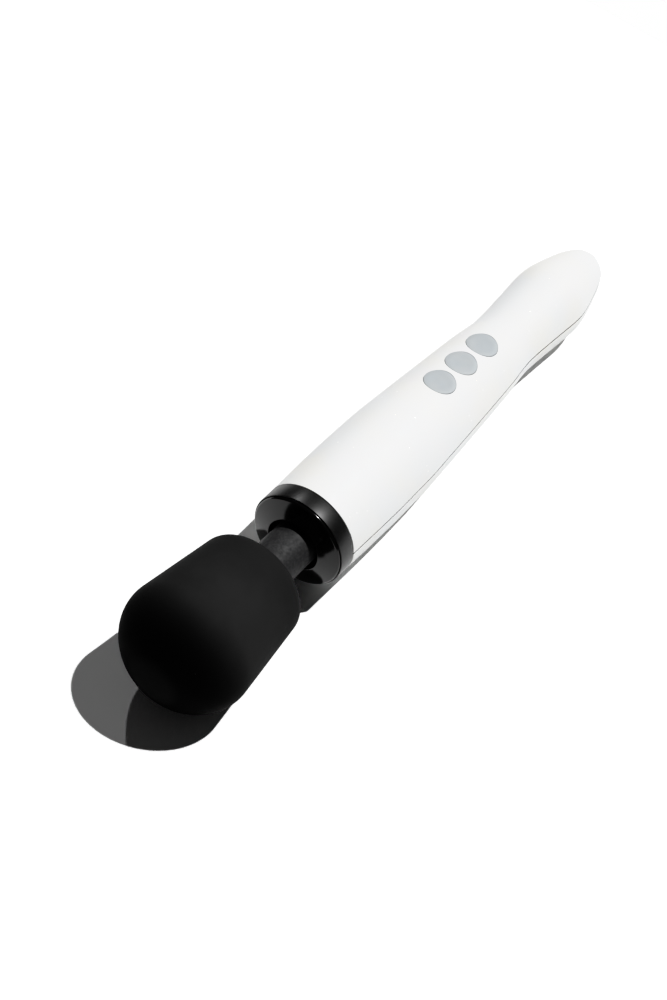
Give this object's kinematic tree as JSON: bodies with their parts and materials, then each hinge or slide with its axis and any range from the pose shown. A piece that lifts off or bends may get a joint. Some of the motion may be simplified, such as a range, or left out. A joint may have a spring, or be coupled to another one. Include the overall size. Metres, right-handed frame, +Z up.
{
  "type": "wand massager",
  "caption": "Handheld wand massager with a moulded handle, press buttons and a flexible neck that carries a soft vibrating head.",
  "frame": {"origin": "centre of the bounding box at floor level, with the massager lying at rest", "axes": "+X along the massager from its tail to its head, +Z up through the buttons, +Y to the side"},
  "size_m": [0.3399, 0.06, 0.06],
  "materials": {
    "white_shell": "glossy pearl white",
    "button_grey": "satin pale blue-grey",
    "black_gloss": "polished black",
    "black_plastic": "satin black",
    "black_silicone": "soft matte black silicone",
    "dark_rubber": "matte dark grey rubber",
    "grey_plastic": "moulded grey",
    "steel": "plain turned or rolled steel",
    "nickel": "nickel plated",
    "bronze": "sintered bronze",
    "copper": "enamelled copper",
    "ferrite": "dull black ferrite",
    "carbon": "matte black moulding",
    "cell_wrap": "blue film wrap",
    "board_green": "green solder mask",
    "red_wire": "red insulation"
  },
  "bodies": {
    "handle": {"upper_shell": "white_shell", "lower_shell": "white_shell", "shell_screw_1": "steel", "shell_screw_2": "steel", "shell_screw_3": "steel", "shell_screw_4": "steel", "inlet_bezel": "black_plastic", "dc_socket": "black_plastic", "dc_socket_pin": "nickel", "collar_ring": "black_gloss", "collar_cone": "black_gloss", "battery_cell_1": "cell_wrap", "battery_cell_2": "cell_wrap", "cell_link": "nickel", "battery_cradle": "grey_plastic", "control_board": "board_green", "board_screw_1": "steel", "board_screw_2": "steel", "driver_chip": "carbon", "tact_switch_1": "carbon", "tact_switch_2": "carbon", "tact_switch_3": "carbon", "motor_lead": "red_wire", "battery_lead": "red_wire", "inlet_lead": "red_wire", "motor_can": "steel", "motor_front_cap": "steel", "motor_rear_cap": "black_plastic", "motor_front_bush": "bronze", "motor_rear_bush": "bronze", "motor_mount_front": "dark_rubber", "motor_mount_rear": "dark_rubber", "motor_magnet_1": "ferrite", "motor_magnet_2": "ferrite", "motor_brush_1": "carbon", "motor_brush_2": "carbon"},
    "motor_rotor": {"motor_shaft": "steel", "armature_core": "steel", "armature_winding": "copper", "commutator": "copper", "flex_coupling": "dark_rubber"},
    "neck_flex": {"neck_isolator": "dark_rubber"},
    "head": {"neck_tube": "black_plastic", "neck_sleeve": "dark_rubber", "head_core_rear": "black_plastic", "head_core_front": "black_plastic", "silicone_cap": "black_silicone", "head_bush_rear": "bronze", "head_bush_front": "bronze", "flange_screw_1": "steel", "flange_screw_2": "steel"},
    "eccentric": {"drive_shaft": "steel", "eccentric_weight": "steel", "shaft_clip": "steel"},
    "button_1": {"button_cap_1": "button_grey", "switch_plunger_1": "red_wire"},
    "button_2": {"button_cap_2": "button_grey", "switch_plunger_2": "red_wire"},
    "button_3": {"button_cap_3": "button_grey", "switch_plunger_3": "red_wire"}
  },
  "joints": [
    {"name": "neck_pitch", "type": "hinge", "parent": "handle", "child": "neck_flex", "pos_m": [0.06404, 0, 0.02643], "axis": [0, 1, 0], "range_deg": [-6, 6], "stiffness_Nm_per_rad": 15, "deforming": ["neck_isolator", "flex_coupling"]},
    {"name": "neck_yaw", "type": "hinge", "parent": "neck_flex", "child": "head", "pos_m": [0.06404, 0, 0.02643], "axis": [-0.0436, 0, 0.999], "range_deg": [-6, 6], "stiffness_Nm_per_rad": 15, "deforming": ["neck_isolator", "flex_coupling"]},
    {"name": "motor_spin", "type": "hinge", "parent": "handle", "child": "motor_rotor", "pos_m": [0.02208, 0, 0.0246], "axis": [0.999, 0, 0.0436], "continuous": true},
    {"name": "eccentric_spin", "type": "hinge", "parent": "head", "child": "eccentric", "pos_m": [0.12998, 0, 0.02931], "axis": [0.999, 0, 0.0436], "continuous": true},
    {"name": "button_1_press", "type": "slide", "parent": "handle", "child": "button_1", "axis": [0.1117, 0, -0.9937], "range_m": [0, 0.0006], "stiffness_N_per_m": 3000},
    {"name": "button_2_press", "type": "slide", "parent": "handle", "child": "button_2", "axis": [0.1117, 0, -0.9937], "range_m": [0, 0.0006], "stiffness_N_per_m": 3000},
    {"name": "button_3_press", "type": "slide", "parent": "handle", "child": "button_3", "axis": [0.1117, 0, -0.9937], "range_m": [0, 0.0006], "stiffness_N_per_m": 3000}
  ],
  "couplings": [
    {"joint": "eccentric_spin", "follows": "motor_spin", "ratio": 1}
  ]
}
